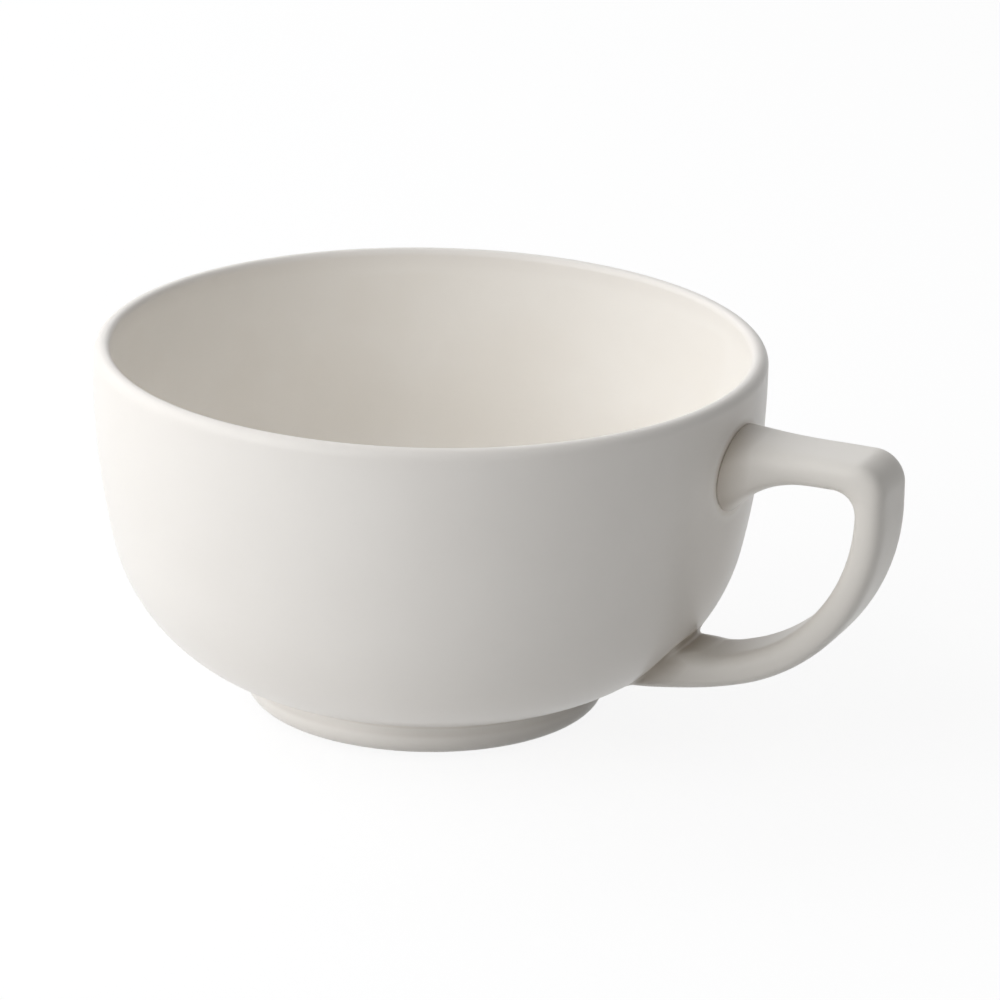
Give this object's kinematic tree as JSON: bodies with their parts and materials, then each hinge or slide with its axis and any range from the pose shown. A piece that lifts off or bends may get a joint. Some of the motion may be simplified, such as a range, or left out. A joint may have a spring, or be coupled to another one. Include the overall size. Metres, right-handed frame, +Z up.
{
  "type": "cappuccino cup",
  "caption": "Wide, low rounded porcelain cup on a turned foot, with a D-shaped strap handle stuck on with slip, for holding a hot drink.",
  "frame": {"origin": "on the cup's axis, at the plane that the foot stands on", "axes": "+Z up along the cup's axis, out of its mouth; +X towards the handle; the cup is the same on both sides of the plane y = 0"},
  "size_m": [0.1238, 0.1, 0.0558],
  "materials": {
    "glazed_body": "satin-gloss off-white glaze",
    "fired_slip": "fired slip under the glaze"
  },
  "bodies": {
    "root": {"bowl": "glazed_body", "handle": "glazed_body", "upper_slip_joint": "fired_slip", "lower_slip_joint": "fired_slip"}
  },
  "joints": []
}
